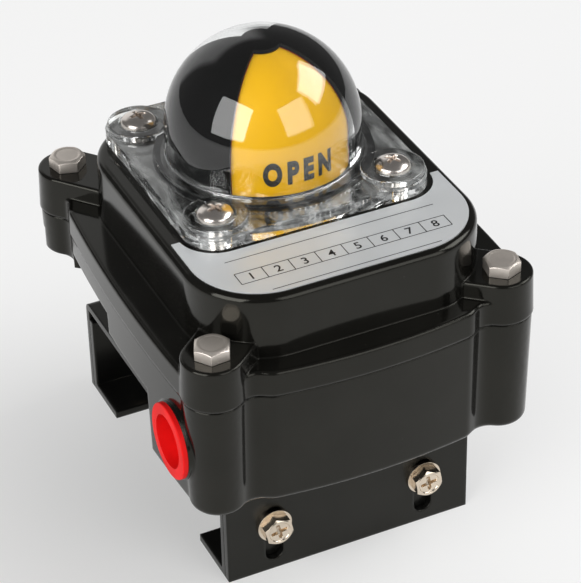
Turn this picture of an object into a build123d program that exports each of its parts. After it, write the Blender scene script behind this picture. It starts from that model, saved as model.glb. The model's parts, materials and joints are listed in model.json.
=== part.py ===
from build123d import *
import math
import os

os.makedirs("parts", exist_ok=True)

# Valve limit switch box on its mounting bracket.
# Frame: +Z up, front towards -Y, origin on the shaft axis at the underside of the feet.
# All lengths in millimetres.

# ---------------------------------------------------------------- driving dimensions
# bracket
bracket_width = 82.0
bracket_length = 112.8
bracket_height = 34.0
sheet = 2.5
sheet_bend = 3.0
foot_toe_margin = 5.6
foot_leg_height = 28.0
foot_hole_x = 15.0
foot_hole_y = 40.0
foot_hole_r = 2.75
slot_x = 25.5
slot_r = 3.0
slot_low_z = 6.5
slot_high_z = 21.0
bracket_screw_z = 17.5
plate_bore_r = 13.0

# castings
pad_height = 7.0
housing_depth = 39.0
rim_height = 7.0
shoulder_height = 14.5
rear_ear_height = 14.0
skirt_height = 8.5
ear_height = 13.9
cover_height = 29.0
wall = 3.5
bolt_pitch_x = 92.8
bolt_pitch_y = 111.5
body_centre_y = -8.75
ear_r = 9.8
ear_blend = 5.0
corner_blend = 6.0
front_wall_half = 32.0
front_bulge = 2.5
front_reach = 9.4
side_reach = 9.2
side_bulge = 9.8
side_rear_reach = 7.1
side_rear_back = 17.0
cover_draft = 2.0
housing_draft = 1.2
island_draft = 1.0
deep_rear_y = -36.0
shoulder_rear_y = -5.0
tub_half_width = 36.0
tub_front_y = -60.0
tub_rear_y = 45.0
tub_corner = 14.0
pad_half_width = 31.0
pad_front_y = -46.0
pad_rear_y = 40.0
pad_corner = 8.0
island_half_width = 46.3
island_front_y = -68.0
island_rear_y = 41.2
island_corner = 24.0
island_edge = 2.2
small_edge = 0.8
casting_edge = 1.2
bottom_edge = 2.4
parting_edge = 0.3
housing_step = 0.4
rear_keep_share = 0.9

# cable entries
entry_y = -55.5
entry_z_above_floor = 19.5
entry_left_x = 56.4
entry_right_x = 54.9
entry_spot_gap = 0.4
entry_bore_r = 10.1
plug_flange_r = 11.7
plug_flange = 1.6
plug_body_length = 12.0
plug_cup_r = 8.3
plug_cup_depth = 10.0
flush_plug_flats = 10.0
flush_plug_socket = 6.0
thread_clearance = 0.1

# cover bolts
bolt_r = 3.0
bolt_length = 22.0
bolt_head_height = 4.0
bolt_head_flats = 10.0
bolt_head_top_r = 4.4
bolt_head_slope = 1.73
bolt_clearance = 0.3

# dome and indicator
dome_r = 29.75
dome_wall = 2.6
dome_centre_above_cover = 13.4
flange_half = 39.0
flange_corner = 10.0
flange_thickness = 4.2
dome_step_r = 33.0
dome_step = 1.0
dome_screw_half = 28.8
boss_r = 9.7
boss_height = 6.0
boss_edge = 0.7
boss_sink_r = 6.2
boss_sink = 1.3
dome_screw_r = 2.5
dome_screw_length = 12.0
dome_screw_head_r = 5.4
dome_screw_head = 3.7
dome_screw_round = 2.2
dome_screw_post_r = 5.0
gasket_width = 2.4
gasket_thickness = 1.5
dome_gasket_inset = 3.2
shroud_gap = 0.25
shroud_wall = 0.7
drum_gap = 0.25
drum_wall = 1.3
window_half_angle = 45.0
cap_r = 5.6
shroud_foot = 1.2
shroud_foot_r = 28.0
window_sill = 3.0
drum_floor = 1.4
drum_floor_above_cover = 2.2
carrier_hub_r = 8.0
carrier_rim = 4.0
carrier_top = 2.0
carrier_screw_r = 2.0
carrier_screw_head_r = 3.6
carrier_screw_head = 2.4
carrier_screw_length = 10.0
label_thickness = 0.4
label_margin = 0.2
label_gap = 1.8
label_top_y = -30.0

# shaft train
shaft_r = 5.0
running_clearance = 0.05
seat_clearance = 0.02
shaft_above_cover = 7.0
shaft_foot_z = 20.0
tang_length = 9.0
tang_thickness = 4.0
collar_r = 7.0
collar_height = 2.0
axial_clearance = 0.3
bush_r = 7.5
lower_bush_length = 13.0
upper_bush_length = 12.0
seal_wire = 0.65
seal_spacing = 4.0
clip_thickness = 0.8
clip_r = 7.2
clip_groove = 0.8
washer_thickness = 0.8
hub_boss_r = 11.5

# cams and switches
cam_hub_r = 8.0
cam_hub_shoulder_r = 11.0
cam_low_r = 13.4
cam_rise = 2.0
cam_thickness = 6.0
cam_active_angle = 90.0
cam_dwell = 10.0
cam_points = 36
cam_retainer = 2.0
spring_wire_r = 0.6
spring_r = 9.6
spring_turns = 3
roller_r = 2.4
roller_gap = 0.3
roller_height = 4.0
roller_pin_r = 0.8
lever_reach = 12.5
lever_throw = 9.0
lever_strip_start = 3.0
lever_strip_length = 6.0
lug_thickness = 1.2
lever_plate = 0.6
lever_pivot_y = 19.7
lever_eye_r = 1.5
pivot_pin_r = 0.7
switch_face_y = 21.5
switch_length = 27.8
switch_height = 15.9
switch_thickness = 10.3
switch_floor_gap = 9.5
switch_pitch_z = 14.0
switch_hole_x = 11.1
switch_hole_back = 3.0
switch_screw_r = 1.45
switch_head_r = 2.8
switch_head = 2.0
switch_edge = 0.6
plunger_r = 1.4
plunger_x = -6.0
plunger_reach = 0.8
blade_length = 3.4
blade_width = 4.8
blade_thickness = 0.8
switch_plate = 2.0
switch_plate_margin = 3.5
post_r = 4.0
post_height = 3.5
spacer_r = 2.9

# terminals
terminal_count = 8
terminal_pitch = 8.6
terminal_depth = 17.0
terminal_height = 14.0
terminal_y = -57.0
terminal_screw_r = 2.2
terminal_wire_r = 1.8
terminal_end = 1.6
earth_screw_x = 24.0
earth_screw_y = -44.0
earth_screw_r = 2.0
earth_head_r = 3.5
earth_head = 2.4
earth_screw_length = 6.0
terminal_row = 4.5
terminal_barrier = 2.0
terminal_screw_length = 5.0
terminal_wire_z = 4.0
terminal_fixing_x = 17.2

# small screws
bracket_screw_r = 2.5
bracket_head_flats = 8.6
bracket_head = 3.6
bracket_washer_r = 5.6
bracket_washer = 1.0
bracket_nut_flats = 8.0
bracket_nut = 4.0
bracket_screw_spare = 2.0
base_screw_x = 20.0
base_screw_y = 27.0
base_screw_length = 8.0
recess_arm = 1.1
recess_span = 4.6
recess_depth = 1.6

# ---------------------------------------------------------------- derived places
bolt_x = bolt_pitch_x / 2
bolt_front_y = body_centre_y - bolt_pitch_y / 2
bolt_rear_y = body_centre_y + bolt_pitch_y / 2
front_bolts = [(-bolt_x, bolt_front_y), (bolt_x, bolt_front_y)]
rear_bolts = [(-bolt_x, bolt_rear_y), (bolt_x, bolt_rear_y)]
bolt_points = front_bolts + rear_bolts

floor_z = bracket_height + pad_height
parting_z = floor_z + housing_depth
ledge_z = parting_z + skirt_height
ear_top_z = parting_z + ear_height
cover_z = parting_z + cover_height
inner_floor_z = floor_z + wall
entry_z = floor_z + entry_z_above_floor

flange_z = cover_z + flange_thickness
dome_centre_z = cover_z + dome_centre_above_cover
dome_inner_r = dome_r - dome_wall
shroud_r = dome_inner_r - shroud_gap
drum_r = shroud_r - shroud_wall - drum_gap
drum_floor_z = cover_z + drum_floor_above_cover
dome_screws = [(sx * dome_screw_half, sy * dome_screw_half) for sx in (-1, 1) for sy in (-1, 1)]
screw_seat_z = cover_z + boss_height - boss_sink

shaft_top_z = cover_z + shaft_above_cover
carrier_top_z = shaft_top_z + carrier_top
switch_low_z = inner_floor_z + switch_floor_gap
switch_plate_z = inner_floor_z + post_height
switch_hole_y = switch_face_y + switch_height - switch_hole_back
plunger_end_y = switch_face_y - plunger_reach
terminal_low_z = inner_floor_z + post_height
terminal_fixings = [(-terminal_fixing_x, terminal_y), (terminal_fixing_x, terminal_y)]
earth_point = (earth_screw_x, earth_screw_y)

far = 2 * (bolt_pitch_x + bolt_pitch_y)


# ---------------------------------------------------------------- shared profiles
def is_at(vertex, radius):
    # true for a vertex that lies on the circle of one of the four ears
    reach = [math.hypot(vertex.X - x, vertex.Y - y) for x, y in bolt_points]
    return abs(min(reach) - radius) < 1e-3


def body_outline(inset):
    # plan outline of both castings: bulged walls joined at round ears, drawn inwards by inset for the draft
    front_y = bolt_front_y - front_reach + inset
    rear_y = bolt_rear_y + front_reach - inset
    side_front = (bolt_x + side_reach - inset, bolt_front_y)
    side_mid = (bolt_x + side_bulge - inset, body_centre_y)
    side_rear = (bolt_x + side_rear_reach - inset, bolt_rear_y - side_rear_back)
    radius = ear_r - inset
    with BuildSketch() as sketch:
        with BuildLine():
            ThreePointArc((-front_wall_half, front_y), (0, front_y - front_bulge), (front_wall_half, front_y))
            Polyline((front_wall_half, front_y), (bolt_x, bolt_front_y), side_front)
            ThreePointArc(side_front, side_mid, side_rear)
            Polyline(side_rear, (bolt_x, bolt_rear_y), (front_wall_half, rear_y))
            ThreePointArc((front_wall_half, rear_y), (0, rear_y + front_bulge), (-front_wall_half, rear_y))
            Polyline((-front_wall_half, rear_y), (-bolt_x, bolt_rear_y), (-side_rear[0], side_rear[1]))
            ThreePointArc((-side_rear[0], side_rear[1]), (-side_mid[0], side_mid[1]), (-side_front[0], side_front[1]))
            Polyline((-side_front[0], side_front[1]), (-bolt_x, bolt_front_y), (-front_wall_half, front_y))
        make_face()
        with Locations(*bolt_points):
            Circle(radius)
        notches = [v for v in sketch.vertices() if is_at(v, radius)]
        fillet(notches, ear_blend + inset)
        wall_ends = [v for v in sketch.vertices() if abs(abs(v.X) - front_wall_half) < 1e-3]
        fillet(wall_ends, corner_blend)
        side_ends = [v for v in sketch.vertices() if abs(v.Y - side_rear[1]) < 1e-3]
        fillet(side_ends, corner_blend)
    return sketch.sketch


def rounded_plate(x_half, y_low, y_high, radius):
    # rounded rectangle that is symmetric about x = 0 and spans y_low to y_high
    with BuildSketch() as sketch:
        with Locations((0, (y_low + y_high) / 2)):
            RectangleRounded(2 * x_half, y_high - y_low, radius)
    return sketch.sketch


def island_plate(inset):
    # plan of the raised island, drawn inwards by inset
    return rounded_plate(
        island_half_width - inset, island_front_y + inset, island_rear_y - inset, island_corner - inset
    )


def flange_plate(grow):
    # plan of the square dome flange, grown outwards by grow
    return rounded_plate(flange_half + grow, -flange_half - grow, flange_half + grow, flange_corner + grow)


def draft(height, angle):
    # how far a drafted wall comes in over a height
    return height * math.tan(math.radians(angle))


def ring(outer, inner, low, high):
    # plain round ring about the shaft axis between two heights
    with BuildPart() as made:
        with BuildSketch(Plane.XY.offset(low)):
            Circle(outer)
            Circle(inner, mode=Mode.SUBTRACT)
        extrude(amount=high - low)
    return made.part


def disc(radius, low, high):
    # plain round disc or rod about the shaft axis between two heights
    with BuildPart() as made:
        with BuildSketch(Plane.XY.offset(low)):
            Circle(radius)
        extrude(amount=high - low)
    return made.part


def cross_recess(plane):
    # tool body for a cross recess cut into a screw head whose top lies on the plane
    with BuildPart() as made:
        with BuildSketch(plane):
            Rectangle(recess_span, recess_arm)
            Rectangle(recess_arm, recess_span)
        extrude(amount=-recess_depth)
    return made.part


def finish(made, label):
    # name a finished piece and write it to its own file
    made.part.label = label
    export_step(made.part, f"parts/{label}.step")


# ---------------------------------------------------------------- mounting bracket
with BuildPart() as mounting_bracket:
    with BuildSketch(Plane.YZ.offset(-bracket_width / 2)):
        with Locations((0, bracket_height / 2)):
            Rectangle(bracket_length, bracket_height)
    extrude(amount=bracket_width)
    fillet(mounting_bracket.edges().filter_by(Axis.X).group_by(Axis.Z)[-1], sheet_bend)
    with BuildSketch(Plane.YZ.offset(-bracket_width / 2)):
        with Locations((0, (bracket_height - sheet) / 2)):
            Rectangle(bracket_length - 2 * sheet, bracket_height - sheet)
    extrude(amount=bracket_width, mode=Mode.SUBTRACT)
    with BuildSketch(Plane.XY.offset(bracket_height)):
        Circle(plate_bore_r)
        with GridLocations(2 * base_screw_x, 2 * base_screw_y, 2, 2):
            Circle(bracket_screw_r + bolt_clearance)
    extrude(amount=-2 * sheet, mode=Mode.SUBTRACT)
    with BuildSketch(Plane.XZ.offset(-bracket_length)):
        with Locations((-slot_x, (slot_low_z + slot_high_z) / 2), (slot_x, (slot_low_z + slot_high_z) / 2)):
            SlotCenterToCenter(slot_high_z - slot_low_z, 2 * slot_r, rotation=90)
    extrude(amount=2 * bracket_length, mode=Mode.SUBTRACT)
finish(mounting_bracket, "mounting_bracket")


def bracket_foot(side):
    # L piece inside one leg of the bracket: an upright leg and a foot turned inwards
    leg_y = side * (bracket_length / 2 - sheet)
    toe_y = side * (foot_hole_y - foot_toe_margin)
    with BuildPart() as made:
        with BuildSketch(Plane.YZ.offset(-bracket_width / 2)) as profile:
            with BuildLine():
                Polyline(
                    (leg_y, 0),
                    (toe_y, 0),
                    (toe_y, sheet),
                    (leg_y - side * sheet, sheet),
                    (leg_y - side * sheet, foot_leg_height),
                    (leg_y, foot_leg_height),
                    close=True,
                )
            make_face()
        extrude(amount=bracket_width)
        with BuildSketch(Plane.XY.offset(sheet)):
            with Locations((-foot_hole_x, side * foot_hole_y), (foot_hole_x, side * foot_hole_y)):
                Circle(foot_hole_r)
        extrude(amount=-2 * sheet, mode=Mode.SUBTRACT)
        with BuildSketch(Plane.XZ.offset(-leg_y)):
            with Locations((-slot_x, bracket_screw_z), (slot_x, bracket_screw_z)):
                Circle(bracket_screw_r + thread_clearance)
        extrude(amount=2 * sheet, both=True, mode=Mode.SUBTRACT)
    return made


finish(bracket_foot(-1), "bracket_foot_front")
finish(bracket_foot(1), "bracket_foot_rear")


def leg_fasteners(make):
    # one fastener at each of the four leg screws; make(plane) draws it on the outer face of its leg
    with BuildPart() as made:
        for side in (-1, 1):
            for x in (-slot_x, slot_x):
                face = Plane(
                    origin=(x, side * bracket_length / 2, bracket_screw_z), x_dir=(1, 0, 0), z_dir=(0, side, 0)
                )
                add(make(face))
    return made


def leg_screw(face):
    # hex head with a cross recess, shank through both sheets and the nut
    shank = 2 * sheet + bracket_nut + bracket_screw_spare
    top = face.offset(bracket_washer + bracket_head)
    with BuildPart() as made:
        with BuildSketch(face.offset(bracket_washer)):
            RegularPolygon(bracket_head_flats / 2, 6, major_radius=False)
        extrude(amount=bracket_head)
        chamfer(made.faces().sort_by(Axis.Y)[-1 if face.z_dir.Y > 0 else 0].edges(), small_edge / 2)
        with BuildSketch(face.offset(bracket_washer)):
            Circle(bracket_screw_r)
        extrude(amount=-bracket_washer - shank)
        add(cross_recess(top), mode=Mode.SUBTRACT)
    return made.part


def leg_washer(face):
    with BuildPart() as made:
        with BuildSketch(face):
            Circle(bracket_washer_r)
            Circle(bracket_screw_r + thread_clearance, mode=Mode.SUBTRACT)
        extrude(amount=bracket_washer)
    return made.part


def leg_nut(face):
    with BuildPart() as made:
        with BuildSketch(face.offset(-2 * sheet)):
            RegularPolygon(bracket_nut_flats / 2, 6, major_radius=False)
            Circle(bracket_screw_r + thread_clearance, mode=Mode.SUBTRACT)
        extrude(amount=-bracket_nut)
    return made.part


finish(leg_fasteners(leg_screw), "bracket_screws")
finish(leg_fasteners(leg_washer), "bracket_washers")
finish(leg_fasteners(leg_nut), "bracket_nuts")

with BuildPart() as base_screws:
    with BuildSketch(Plane.XY.offset(bracket_height - sheet)):
        with GridLocations(2 * base_screw_x, 2 * base_screw_y, 2, 2):
            RegularPolygon(bracket_nut_flats / 2, 6, major_radius=False)
    extrude(amount=-bracket_head)
    with BuildSketch(Plane.XY.offset(bracket_height - sheet)):
        with GridLocations(2 * base_screw_x, 2 * base_screw_y, 2, 2):
            Circle(bracket_screw_r)
    extrude(amount=base_screw_length)
finish(base_screws, "base_screws")

# ---------------------------------------------------------------- lower housing
rim_z = parting_z - rim_height
shoulder_z = parting_z - shoulder_height
rear_ear_z = parting_z - rear_ear_height

# the regions of the drafted block that the casting keeps
with BuildPart() as kept_regions:
    with BuildSketch(Plane.XY.offset(rim_z)):
        Rectangle(far, far)
    extrude(amount=rim_height)
    with BuildSketch(Plane.XY.offset(shoulder_z)):
        with Locations((0, shoulder_rear_y)):
            Rectangle(far, far, align=(Align.CENTER, Align.MAX))
    extrude(amount=shoulder_height)
    with BuildSketch(Plane.XY.offset(floor_z)):
        with Locations((0, deep_rear_y)):
            Rectangle(far, far, align=(Align.CENTER, Align.MAX))
    extrude(amount=housing_depth)
    with BuildSketch(Plane.XY.offset(rear_ear_z)):
        for x, y in rear_bolts:
            with Locations((x * rear_keep_share, y * rear_keep_share)):
                Circle(ear_r + ear_blend)
    extrude(amount=rear_ear_height)
    with BuildSketch(Plane.XY.offset(floor_z)):
        add(rounded_plate(tub_half_width, tub_front_y, tub_rear_y, tub_corner))
    extrude(amount=housing_depth)

left_face = Plane(origin=(-entry_left_x, entry_y, entry_z), x_dir=(0, 1, 0), z_dir=(-1, 0, 0))
right_face = Plane(origin=(entry_right_x, entry_y, entry_z), x_dir=(0, 1, 0), z_dir=(1, 0, 0))

with BuildPart() as lower_housing:
    with BuildSketch(Plane.XY.offset(parting_z)):
        add(body_outline(housing_step))
    with BuildSketch(Plane.XY.offset(floor_z)):
        add(body_outline(housing_step + draft(housing_depth, housing_draft)))
    loft(ruled=True)
    fillet(lower_housing.faces().sort_by(Axis.Z)[0].edges(), bottom_edge)
    fillet(lower_housing.faces().sort_by(Axis.Z)[-1].edges(), parting_edge)
    add(kept_regions.part, mode=Mode.INTERSECT)
    # round spot faces of the two cable entries
    for face in (left_face, right_face):
        with BuildSketch(face):
            Circle(plug_flange_r + entry_spot_gap)
        extrude(amount=-2 * wall)
        with BuildSketch(face):
            Circle(plug_flange_r + entry_spot_gap)
        extrude(amount=2 * wall, mode=Mode.SUBTRACT)
    # pad that stands on the bracket
    with BuildSketch(Plane.XY.offset(bracket_height)):
        add(rounded_plate(pad_half_width, pad_front_y, pad_rear_y, pad_corner))
    extrude(amount=pad_height)
    # main pocket and front pocket
    with BuildSketch(Plane.XY.offset(inner_floor_z)):
        add(rounded_plate(tub_half_width - wall, deep_rear_y - 2 * wall, tub_rear_y - wall, tub_corner - wall))
    extrude(amount=parting_z - inner_floor_z, mode=Mode.SUBTRACT)
    with BuildSketch(Plane.XY.offset(inner_floor_z)):
        add(rounded_plate(bolt_x + side_reach - 2 * wall, bolt_front_y - front_reach + wall, deep_rear_y - wall, wall))
        add(body_outline(housing_step + draft(housing_depth, housing_draft) + wall), mode=Mode.INTERSECT)
        with Locations(*front_bolts):
            Circle(ear_r - small_edge, mode=Mode.SUBTRACT)
    extrude(amount=parting_z - inner_floor_z, mode=Mode.SUBTRACT)
    # bush boss, switch posts and terminal posts on the floor
    with BuildSketch(Plane.XY.offset(inner_floor_z)):
        Circle(hub_boss_r)
    extrude(amount=bracket_height + lower_bush_length - inner_floor_z)
    with BuildSketch(Plane.XY.offset(inner_floor_z)):
        with Locations((-switch_hole_x, switch_hole_y), (switch_hole_x, switch_hole_y), *terminal_fixings):
            Circle(post_r)
        with Locations((-switch_hole_x, switch_hole_y), (switch_hole_x, switch_hole_y), *terminal_fixings):
            Circle(switch_screw_r + thread_clearance, mode=Mode.SUBTRACT)
    extrude(amount=post_height)
    with BuildSketch(Plane.XY.offset(inner_floor_z)):
        with Locations(earth_point):
            Circle(earth_screw_r + thread_clearance)
    extrude(amount=-earth_screw_length, mode=Mode.SUBTRACT)
    # bores and threaded holes
    with BuildSketch(Plane.XY.offset(bracket_height)):
        Circle(bush_r)
    extrude(amount=lower_bush_length, mode=Mode.SUBTRACT)
    with BuildSketch(Plane.XY.offset(bracket_height)):
        with GridLocations(2 * base_screw_x, 2 * base_screw_y, 2, 2):
            Circle(bracket_screw_r + thread_clearance)
    extrude(amount=base_screw_length, mode=Mode.SUBTRACT)
    with BuildSketch(Plane.XY.offset(parting_z)):
        with Locations(*bolt_points):
            Circle(bolt_r + thread_clearance)
    extrude(amount=-(bolt_length - ear_height + bolt_clearance), mode=Mode.SUBTRACT)
    for face in (left_face, right_face):
        with BuildSketch(face):
            Circle(entry_bore_r)
        extrude(amount=-plug_body_length - 2 * wall, mode=Mode.SUBTRACT)
finish(lower_housing, "lower_housing")

# ---------------------------------------------------------------- top cover
island_in_top = draft(cover_height, island_draft)
island_corner_x = island_half_width - island_corner
island_front_corner_y = island_front_y + island_corner
island_rear_corner_y = island_rear_y - island_corner


def ear_boss(x, y, inset):
    # plan of one raised ear: the bolt circle drawn out towards the corner of the island
    inner_y = island_front_corner_y if y < body_centre_y else island_rear_corner_y
    inner_x = math.copysign(island_corner_x, x)
    span = math.hypot(inner_x - x, inner_y - y)
    angle = math.degrees(math.atan2(inner_y - y, inner_x - x))
    with BuildSketch() as sketch:
        with Locations(((x + inner_x) / 2, (y + inner_y) / 2)):
            SlotCenterToCenter(span, 2 * (ear_r - inset), rotation=angle)
    return sketch.sketch


def cover_ear(x, y):
    # raised ear of the cover, drafted and rounded at its top edge
    with BuildPart() as made:
        with BuildSketch(Plane.XY.offset(parting_z)):
            add(ear_boss(x, y, 0))
        with BuildSketch(Plane.XY.offset(ear_top_z)):
            add(ear_boss(x, y, draft(ear_height, cover_draft)))
        loft(ruled=True)
        fillet(made.faces().sort_by(Axis.Z)[-1].edges(), small_edge)
    return made.part


with BuildPart() as cover_skirt:
    with BuildSketch(Plane.XY.offset(parting_z)):
        add(body_outline(0))
    with BuildSketch(Plane.XY.offset(ledge_z)):
        add(body_outline(draft(skirt_height, cover_draft)))
    loft(ruled=True)
    fillet(cover_skirt.faces().sort_by(Axis.Z)[-1].edges(), casting_edge)

with BuildPart() as cover_island:
    with BuildSketch(Plane.XY.offset(parting_z)):
        add(island_plate(0))
    with BuildSketch(Plane.XY.offset(cover_z)):
        add(island_plate(island_in_top))
    loft(ruled=True)
    fillet(cover_island.faces().sort_by(Axis.Z)[-1].edges(), island_edge)

with BuildPart() as top_cover:
    add(cover_skirt.part)
    for x, y in bolt_points:
        add(cover_ear(x, y))
    add(cover_island.part)
    # hollow under the island
    with BuildSketch(Plane.XY.offset(parting_z)):
        add(island_plate(wall))
    extrude(amount=cover_height - wall, mode=Mode.SUBTRACT)
    # bush boss and screw bosses inside
    with BuildSketch(Plane.XY.offset(cover_z - wall)):
        Circle(hub_boss_r)
    extrude(amount=-(upper_bush_length - wall))
    with BuildSketch(Plane.XY.offset(cover_z - wall)):
        with Locations(*dome_screws):
            Circle(dome_screw_post_r)
    extrude(amount=-(dome_screw_length - wall))
    # bores
    with BuildSketch(Plane.XY.offset(cover_z)):
        Circle(bush_r)
    extrude(amount=-upper_bush_length, mode=Mode.SUBTRACT)
    with BuildSketch(Plane.XY.offset(cover_z)):
        with Locations(*dome_screws):
            Circle(dome_screw_r + thread_clearance)
    extrude(amount=-(dome_screw_length - boss_height + boss_sink + bolt_clearance), mode=Mode.SUBTRACT)
    with BuildSketch(Plane.XY.offset(parting_z)):
        with Locations(*bolt_points):
            Circle(bolt_r + bolt_clearance)
    extrude(amount=ear_height, mode=Mode.SUBTRACT)
    # gasket groove in the joint face
    with BuildSketch(Plane.XY.offset(parting_z)):
        add(island_plate(-gasket_width / 2))
        add(island_plate(gasket_width / 2), mode=Mode.SUBTRACT)
    extrude(amount=gasket_thickness, mode=Mode.SUBTRACT)
finish(top_cover, "top_cover")

with BuildPart() as cover_gasket:
    with BuildSketch(Plane.XY.offset(parting_z)):
        add(island_plate(-gasket_width / 2))
        add(island_plate(gasket_width / 2), mode=Mode.SUBTRACT)
    extrude(amount=gasket_thickness)
finish(cover_gasket, "cover_gasket")

with BuildPart() as bolt_head_cones:
    with Locations(*[(x, y, ear_top_z) for x, y in bolt_points]):
        Cone(
            bolt_head_top_r + bolt_head_height * bolt_head_slope,
            bolt_head_top_r,
            bolt_head_height,
            align=(Align.CENTER, Align.CENTER, Align.MIN),
        )

with BuildPart() as cover_bolts:
    with BuildSketch(Plane.XY.offset(ear_top_z)):
        with Locations(*bolt_points):
            RegularPolygon(bolt_head_flats / 2, 6, major_radius=False)
    extrude(amount=bolt_head_height)
    add(bolt_head_cones.part, mode=Mode.INTERSECT)
    with BuildSketch(Plane.XY.offset(ear_top_z)):
        with Locations(*bolt_points):
            Circle(bolt_r)
    extrude(amount=-bolt_length)
finish(cover_bolts, "cover_bolts")

# ---------------------------------------------------------------- cable entry plugs

# flanged cup
with BuildPart() as conduit_plug_left:
    with BuildSketch(left_face):
        Circle(plug_flange_r)
    extrude(amount=plug_flange)
    fillet(conduit_plug_left.edges().filter_by(GeomType.CIRCLE).sort_by(Axis.X)[0], small_edge / 2)
    with BuildSketch(left_face):
        Circle(entry_bore_r - thread_clearance)
    extrude(amount=-plug_body_length)
    with BuildSketch(left_face.offset(plug_flange)):
        Circle(plug_cup_r)
    extrude(amount=-plug_cup_depth, mode=Mode.SUBTRACT)
finish(conduit_plug_left, "conduit_plug_left")

# flush plug with a hexagon socket
with BuildPart() as conduit_plug_right:
    with BuildSketch(right_face):
        Circle(entry_bore_r - thread_clearance)
    extrude(amount=-plug_body_length)
    fillet(conduit_plug_right.edges().filter_by(GeomType.CIRCLE).sort_by(Axis.X)[-1], small_edge / 2)
    with BuildSketch(right_face):
        RegularPolygon(flush_plug_flats / 2, 6, major_radius=False)
    extrude(amount=-flush_plug_socket, mode=Mode.SUBTRACT)
finish(conduit_plug_right, "conduit_plug_right")

# ---------------------------------------------------------------- label plate
with BuildPart() as label_plate:
    with BuildSketch(Plane.XY.offset(cover_z)):
        add(island_plate(island_in_top + island_edge + label_margin))
        with Locations((0, label_top_y)):
            Rectangle(far, far, align=(Align.CENTER, Align.MIN), mode=Mode.SUBTRACT)
        add(flange_plate(label_gap), mode=Mode.SUBTRACT)
    extrude(amount=label_thickness)
finish(label_plate, "label_plate")

# ---------------------------------------------------------------- clear dome
boss_z = cover_z + boss_height
step_z = flange_z + dome_step
dome_gasket_r = shroud_foot_r + dome_gasket_inset

with BuildPart() as dome_bosses:
    with BuildSketch(Plane.XY.offset(cover_z)):
        with Locations(*dome_screws):
            Circle(boss_r)
    extrude(amount=boss_height)
    fillet(dome_bosses.faces().filter_by(Axis.Z).group_by(Axis.Z)[-1].edges(), boss_edge)


def dome_body(radius):
    # solid of revolution: a hemisphere on a straight skirt that starts on the cover
    with BuildPart() as made:
        with BuildSketch(Plane.XZ):
            with BuildLine():
                Polyline((0, cover_z), (radius, cover_z), (radius, dome_centre_z))
                CenterArc((0, dome_centre_z), radius, 0, 90)
                Line((0, dome_centre_z + radius), (0, cover_z))
            make_face()
        revolve(axis=Axis.Z)
    return made.part


with BuildPart() as indicator_dome:
    with BuildSketch(Plane.XY.offset(cover_z)):
        add(flange_plate(0))
    extrude(amount=flange_thickness)
    chamfer(indicator_dome.faces().sort_by(Axis.Z)[-1].edges(), small_edge / 2)
    add(dome_bosses.part)
    with BuildSketch(Plane.XY.offset(flange_z)):
        Circle(dome_step_r)
    extrude(amount=dome_step)
    add(dome_body(dome_r))
    add(dome_body(dome_inner_r), mode=Mode.SUBTRACT)
    root = [e for e in indicator_dome.edges().filter_by(GeomType.CIRCLE) if abs(e.radius - dome_r) < 1e-3]
    fillet(ShapeList(root).filter_by_position(Axis.Z, step_z - small_edge, step_z + small_edge), small_edge)
    # counterbore for the shroud foot, screw holes and gasket groove
    with BuildSketch(Plane.XY.offset(cover_z)):
        Circle(shroud_foot_r + thread_clearance)
    extrude(amount=shroud_foot, mode=Mode.SUBTRACT)
    with BuildSketch(Plane.XY.offset(cover_z)):
        with Locations(*dome_screws):
            Circle(dome_screw_r + bolt_clearance)
    extrude(amount=boss_height, mode=Mode.SUBTRACT)
    with BuildSketch(Plane.XY.offset(boss_z)):
        with Locations(*dome_screws):
            Circle(boss_sink_r)
    extrude(amount=-boss_sink, mode=Mode.SUBTRACT)
    with BuildSketch(Plane.XY.offset(cover_z)):
        Circle(dome_gasket_r + gasket_width)
        Circle(dome_gasket_r, mode=Mode.SUBTRACT)
    extrude(amount=gasket_thickness, mode=Mode.SUBTRACT)
finish(indicator_dome, "indicator_dome")

with BuildPart() as dome_gasket:
    add(ring(dome_gasket_r + gasket_width, dome_gasket_r, cover_z, cover_z + gasket_thickness))
finish(dome_gasket, "dome_gasket")

with BuildPart() as dome_screw_set:
    with BuildSketch(Plane.XY.offset(screw_seat_z)):
        with Locations(*dome_screws):
            Circle(dome_screw_head_r)
    extrude(amount=dome_screw_head)
    fillet(dome_screw_set.faces().filter_by(Axis.Z).group_by(Axis.Z)[-1].edges(), dome_screw_round)
    with BuildSketch(Plane.XY.offset(screw_seat_z)):
        with Locations(*dome_screws):
            Circle(dome_screw_r)
    extrude(amount=-dome_screw_length)
    with BuildSketch(Plane.XY.offset(screw_seat_z + dome_screw_head)):
        with Locations(*dome_screws):
            Rectangle(recess_span, recess_arm)
            Rectangle(recess_arm, recess_span)
    extrude(amount=-recess_depth, mode=Mode.SUBTRACT)
finish(dome_screw_set, "dome_screws")

# ---------------------------------------------------------------- indicator shroud and drum
def shell_profile(outer, thickness, low):
    # half section of a domed shell with a straight skirt down to low
    with BuildSketch(Plane.XZ) as sketch:
        with BuildLine():
            Line((0, dome_centre_z + outer - thickness), (0, dome_centre_z + outer))
            CenterArc((0, dome_centre_z), outer, 0, 90)
            Polyline((outer, dome_centre_z), (outer, low), (outer - thickness, low), (outer - thickness, dome_centre_z))
            CenterArc((0, dome_centre_z), outer - thickness, 0, 90)
        make_face()
    return sketch.sketch


def sector(centre_angle, half_angle, reach):
    # wedge of the plan about the shaft axis
    low = math.radians(centre_angle - half_angle)
    high = math.radians(centre_angle + half_angle)
    with BuildSketch() as sketch:
        with BuildLine():
            Polyline(
                (0, 0),
                (reach * math.cos(low), reach * math.sin(low)),
                (reach * math.sqrt(2) * math.cos((low + high) / 2), reach * math.sqrt(2) * math.sin((low + high) / 2)),
                (reach * math.cos(high), reach * math.sin(high)),
                close=True,
            )
        make_face()
    return sketch.sketch


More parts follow.
